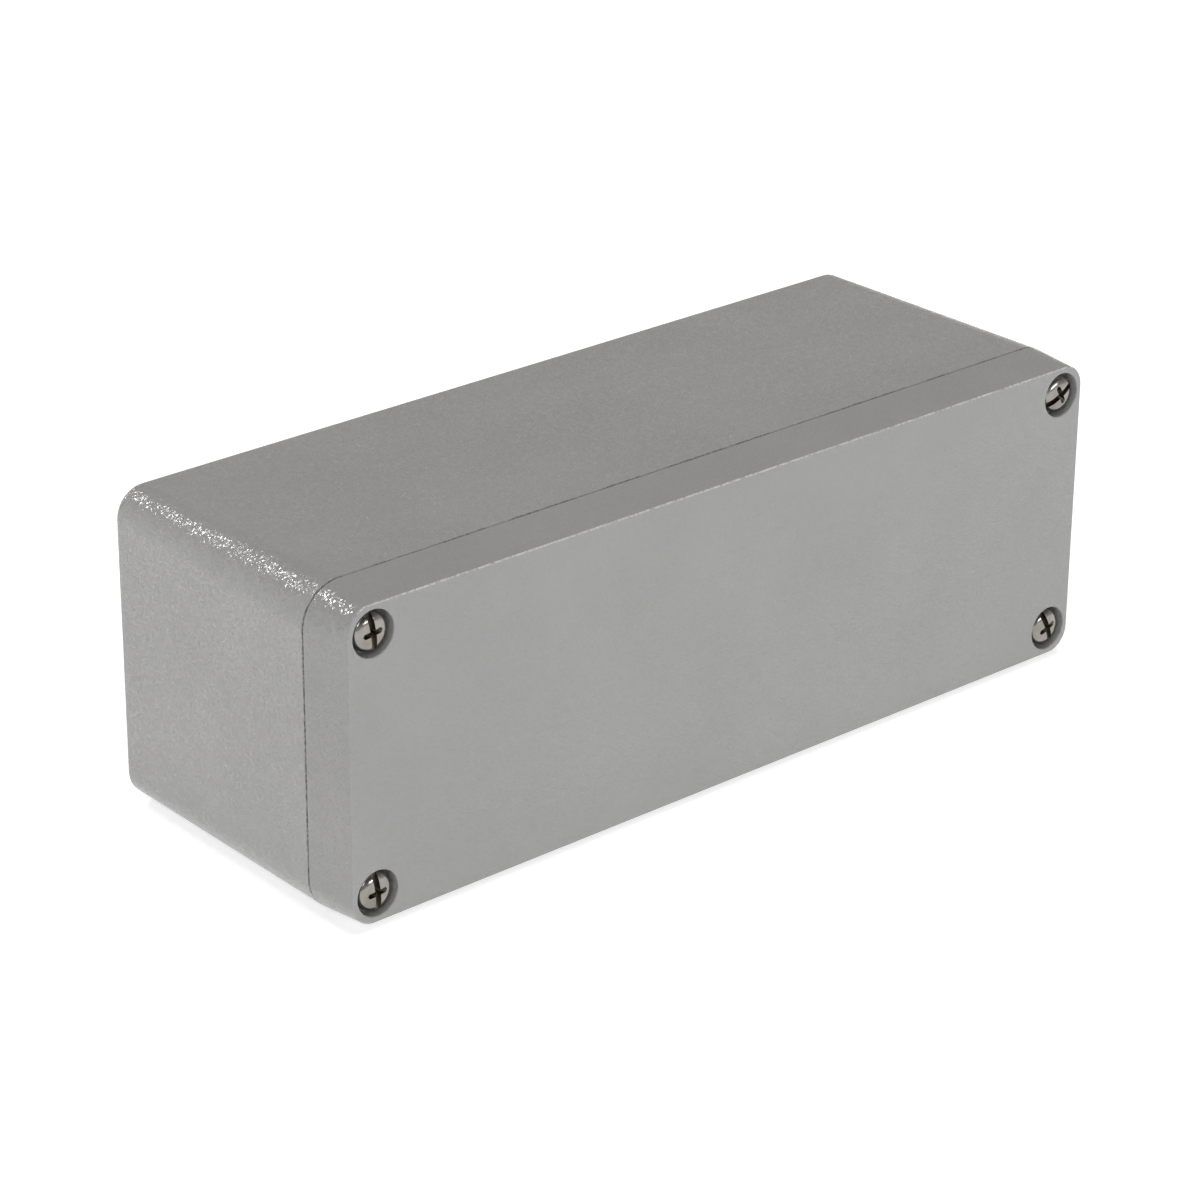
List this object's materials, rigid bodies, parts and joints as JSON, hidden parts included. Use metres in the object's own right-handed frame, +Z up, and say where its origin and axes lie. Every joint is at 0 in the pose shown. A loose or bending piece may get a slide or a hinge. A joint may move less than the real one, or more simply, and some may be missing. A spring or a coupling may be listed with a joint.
{
  "type": "junction box",
  "caption": "Long die-cast aluminium junction box with a screwed, sealed lid over a rail of clamp terminals.",
  "frame": {"origin": "centre of the bounding box's footprint, on the ground under the long side wall that the box lies on", "axes": "+X along the length, -Y is the lid's side, +Y the mounting side, +Z up"},
  "size_m": [0.232, 0.085, 0.08],
  "materials": {
    "castings": "fine wrinkled light grey powder coat",
    "gasket": "foamed black rubber",
    "stainless": "bright stainless steel",
    "zinc_steel": "bright zinc plating",
    "yellow_steel": "yellow passivated zinc plating",
    "tinned_copper": "tinned copper",
    "grey_polyamide": "moulded grey polyamide",
    "blue_polyamide": "moulded blue polyamide",
    "ground_polyamide": "moulded green and yellow polyamide"
  },
  "bodies": {
    "base": {"base_casting": "castings", "mounting_rail": "yellow_steel", "rail_screws": "zinc_steel", "rail_washers": "zinc_steel", "earth_saddle": "zinc_steel", "earth_spring_washer": "zinc_steel", "earth_screw": "zinc_steel", "ground_foot": "zinc_steel", "ground_foot_screw": "zinc_steel", "end_plate": "ground_polyamide", "end_bracket_left": "grey_polyamide", "end_bracket_right": "grey_polyamide", "end_bracket_screws": "zinc_steel", "terminal_1_housing": "grey_polyamide", "terminal_1_bar": "tinned_copper", "terminal_2_housing": "grey_polyamide", "terminal_2_bar": "tinned_copper", "terminal_3_housing": "grey_polyamide", "terminal_3_bar": "tinned_copper", "terminal_4_housing": "blue_polyamide", "terminal_4_bar": "tinned_copper", "ground_terminal_housing": "ground_polyamide", "ground_terminal_bar": "tinned_copper"},
    "lid": {"lid_casting": "castings", "lid_gasket": "gasket"},
    "retaining_washer_top_left": {"retaining_washer_top_left": "stainless"},
    "lid_screw_top_left": {"lid_screw_top_left": "stainless"},
    "retaining_washer_top_right": {"retaining_washer_top_right": "stainless"},
    "lid_screw_top_right": {"lid_screw_top_right": "stainless"},
    "retaining_washer_bottom_left": {"retaining_washer_bottom_left": "stainless"},
    "lid_screw_bottom_left": {"lid_screw_bottom_left": "stainless"},
    "retaining_washer_bottom_right": {"retaining_washer_bottom_right": "stainless"},
    "lid_screw_bottom_right": {"lid_screw_bottom_right": "stainless"},
    "terminal_1_lower_cage": {"terminal_1_lower_cage": "zinc_steel"},
    "terminal_1_lower_screw": {"terminal_1_lower_screw": "zinc_steel"},
    "terminal_1_upper_cage": {"terminal_1_upper_cage": "zinc_steel"},
    "terminal_1_upper_screw": {"terminal_1_upper_screw": "zinc_steel"},
    "terminal_2_lower_cage": {"terminal_2_lower_cage": "zinc_steel"},
    "terminal_2_lower_screw": {"terminal_2_lower_screw": "zinc_steel"},
    "terminal_2_upper_cage": {"terminal_2_upper_cage": "zinc_steel"},
    "terminal_2_upper_screw": {"terminal_2_upper_screw": "zinc_steel"},
    "terminal_3_lower_cage": {"terminal_3_lower_cage": "zinc_steel"},
    "terminal_3_lower_screw": {"terminal_3_lower_screw": "zinc_steel"},
    "terminal_3_upper_cage": {"terminal_3_upper_cage": "zinc_steel"},
    "terminal_3_upper_screw": {"terminal_3_upper_screw": "zinc_steel"},
    "terminal_4_lower_cage": {"terminal_4_lower_cage": "zinc_steel"},
    "terminal_4_lower_screw": {"terminal_4_lower_screw": "zinc_steel"},
    "terminal_4_upper_cage": {"terminal_4_upper_cage": "zinc_steel"},
    "terminal_4_upper_screw": {"terminal_4_upper_screw": "zinc_steel"},
    "ground_terminal_lower_cage": {"ground_terminal_lower_cage": "zinc_steel"},
    "ground_terminal_lower_screw": {"ground_terminal_lower_screw": "zinc_steel"},
    "ground_terminal_upper_cage": {"ground_terminal_upper_cage": "zinc_steel"},
    "ground_terminal_upper_screw": {"ground_terminal_upper_screw": "zinc_steel"}
  },
  "joints": [
    {"name": "lid_off", "type": "slide", "parent": "base", "child": "lid", "axis": [0, -1, 0], "range_m": [0, 0.06]},
    {"name": "lid_screw_top_left_rise", "type": "slide", "parent": "lid", "child": "retaining_washer_top_left", "axis": [0, -1, 0], "range_m": [0, 0.0064]},
    {"name": "lid_screw_top_left_turn", "type": "hinge", "parent": "retaining_washer_top_left", "child": "lid_screw_top_left", "pos_m": [-0.1067, -0.0295, 0.0714], "axis": [0, -1, 0], "range_deg": [0, 2880]},
    {"name": "lid_screw_top_right_rise", "type": "slide", "parent": "lid", "child": "retaining_washer_top_right", "axis": [0, -1, 0], "range_m": [0, 0.0064]},
    {"name": "lid_screw_top_right_turn", "type": "hinge", "parent": "retaining_washer_top_right", "child": "lid_screw_top_right", "pos_m": [0.1067, -0.0295, 0.0714], "axis": [0, -1, 0], "range_deg": [0, 2880]},
    {"name": "lid_screw_bottom_left_rise", "type": "slide", "parent": "lid", "child": "retaining_washer_bottom_left", "axis": [0, -1, 0], "range_m": [0, 0.0064]},
    {"name": "lid_screw_bottom_left_turn", "type": "hinge", "parent": "retaining_washer_bottom_left", "child": "lid_screw_bottom_left", "pos_m": [-0.1067, -0.0295, 0.0086], "axis": [0, -1, 0], "range_deg": [0, 2880]},
    {"name": "lid_screw_bottom_right_rise", "type": "slide", "parent": "lid", "child": "retaining_washer_bottom_right", "axis": [0, -1, 0], "range_m": [0, 0.0064]},
    {"name": "lid_screw_bottom_right_turn", "type": "hinge", "parent": "retaining_washer_bottom_right", "child": "lid_screw_bottom_right", "pos_m": [0.1067, -0.0295, 0.0086], "axis": [0, -1, 0], "range_deg": [0, 2880]},
    {"name": "terminal_1_lower_screw_turn", "type": "hinge", "parent": "base", "child": "terminal_1_lower_screw", "pos_m": [-0.0204, 0.007, 0.026], "axis": [0, 1, 0], "range_deg": [0, 2160]},
    {"name": "terminal_1_lower_cage_rise", "type": "slide", "parent": "base", "child": "terminal_1_lower_cage", "axis": [0, -1, 0], "range_m": [0, 0.0042]},
    {"name": "terminal_1_upper_screw_turn", "type": "hinge", "parent": "base", "child": "terminal_1_upper_screw", "pos_m": [-0.0204, 0.007, 0.054], "axis": [0, 1, 0], "range_deg": [0, 2160]},
    {"name": "terminal_1_upper_cage_rise", "type": "slide", "parent": "base", "child": "terminal_1_upper_cage", "axis": [0, -1, 0], "range_m": [0, 0.0042]},
    {"name": "terminal_2_lower_screw_turn", "type": "hinge", "parent": "base", "child": "terminal_2_lower_screw", "pos_m": [-0.0103, 0.007, 0.026], "axis": [0, 1, 0], "range_deg": [0, 2160]},
    {"name": "terminal_2_lower_cage_rise", "type": "slide", "parent": "base", "child": "terminal_2_lower_cage", "axis": [0, -1, 0], "range_m": [0, 0.0042]},
    {"name": "terminal_2_upper_screw_turn", "type": "hinge", "parent": "base", "child": "terminal_2_upper_screw", "pos_m": [-0.0103, 0.007, 0.054], "axis": [0, 1, 0], "range_deg": [0, 2160]},
    {"name": "terminal_2_upper_cage_rise", "type": "slide", "parent": "base", "child": "terminal_2_upper_cage", "axis": [0, -1, 0], "range_m": [0, 0.0042]},
    {"name": "terminal_3_lower_screw_turn", "type": "hinge", "parent": "base", "child": "terminal_3_lower_screw", "pos_m": [-0.0002, 0.007, 0.026], "axis": [0, 1, 0], "range_deg": [0, 2160]},
    {"name": "terminal_3_lower_cage_rise", "type": "slide", "parent": "base", "child": "terminal_3_lower_cage", "axis": [0, -1, 0], "range_m": [0, 0.0042]},
    {"name": "terminal_3_upper_screw_turn", "type": "hinge", "parent": "base", "child": "terminal_3_upper_screw", "pos_m": [-0.0002, 0.007, 0.054], "axis": [0, 1, 0], "range_deg": [0, 2160]},
    {"name": "terminal_3_upper_cage_rise", "type": "slide", "parent": "base", "child": "terminal_3_upper_cage", "axis": [0, -1, 0], "range_m": [0, 0.0042]},
    {"name": "terminal_4_lower_screw_turn", "type": "hinge", "parent": "base", "child": "terminal_4_lower_screw", "pos_m": [0.0099, 0.007, 0.026], "axis": [0, 1, 0], "range_deg": [0, 2160]},
    {"name": "terminal_4_lower_cage_rise", "type": "slide", "parent": "base", "child": "terminal_4_lower_cage", "axis": [0, -1, 0], "range_m": [0, 0.0042]},
    {"name": "terminal_4_upper_screw_turn", "type": "hinge", "parent": "base", "child": "terminal_4_upper_screw", "pos_m": [0.0099, 0.007, 0.054], "axis": [0, 1, 0], "range_deg": [0, 2160]},
    {"name": "terminal_4_upper_cage_rise", "type": "slide", "parent": "base", "child": "terminal_4_upper_cage", "axis": [0, -1, 0], "range_m": [0, 0.0042]},
    {"name": "ground_terminal_lower_screw_turn", "type": "hinge", "parent": "base", "child": "ground_terminal_lower_screw", "pos_m": [0.02, 0.007, 0.026], "axis": [0, 1, 0], "range_deg": [0, 2160]},
    {"name": "ground_terminal_lower_cage_rise", "type": "slide", "parent": "base", "child": "ground_terminal_lower_cage", "axis": [0, -1, 0], "range_m": [0, 0.0042]},
    {"name": "ground_terminal_upper_screw_turn", "type": "hinge", "parent": "base", "child": "ground_terminal_upper_screw", "pos_m": [0.02, 0.007, 0.054], "axis": [0, 1, 0], "range_deg": [0, 2160]},
    {"name": "ground_terminal_upper_cage_rise", "type": "slide", "parent": "base", "child": "ground_terminal_upper_cage", "axis": [0, -1, 0], "range_m": [0, 0.0042]}
  ],
  "couplings": [
    {"joint": "lid_screw_top_left_turn", "follows": "lid_screw_top_left_rise", "rad_per_m": 7854},
    {"joint": "lid_screw_top_right_turn", "follows": "lid_screw_top_right_rise", "rad_per_m": 7854},
    {"joint": "lid_screw_bottom_left_turn", "follows": "lid_screw_bottom_left_rise", "rad_per_m": 7854},
    {"joint": "lid_screw_bottom_right_turn", "follows": "lid_screw_bottom_right_rise", "rad_per_m": 7854},
    {"joint": "terminal_1_lower_screw_turn", "follows": "terminal_1_lower_cage_rise", "rad_per_m": 8976},
    {"joint": "terminal_1_upper_screw_turn", "follows": "terminal_1_upper_cage_rise", "rad_per_m": 8976},
    {"joint": "terminal_2_lower_screw_turn", "follows": "terminal_2_lower_cage_rise", "rad_per_m": 8976},
    {"joint": "terminal_2_upper_screw_turn", "follows": "terminal_2_upper_cage_rise", "rad_per_m": 8976},
    {"joint": "terminal_3_lower_screw_turn", "follows": "terminal_3_lower_cage_rise", "rad_per_m": 8976},
    {"joint": "terminal_3_upper_screw_turn", "follows": "terminal_3_upper_cage_rise", "rad_per_m": 8976},
    {"joint": "terminal_4_lower_screw_turn", "follows": "terminal_4_lower_cage_rise", "rad_per_m": 8976},
    {"joint": "terminal_4_upper_screw_turn", "follows": "terminal_4_upper_cage_rise", "rad_per_m": 8976},
    {"joint": "ground_terminal_lower_screw_turn", "follows": "ground_terminal_lower_cage_rise", "rad_per_m": 8976},
    {"joint": "ground_terminal_upper_screw_turn", "follows": "ground_terminal_upper_cage_rise", "rad_per_m": 8976}
  ]
}
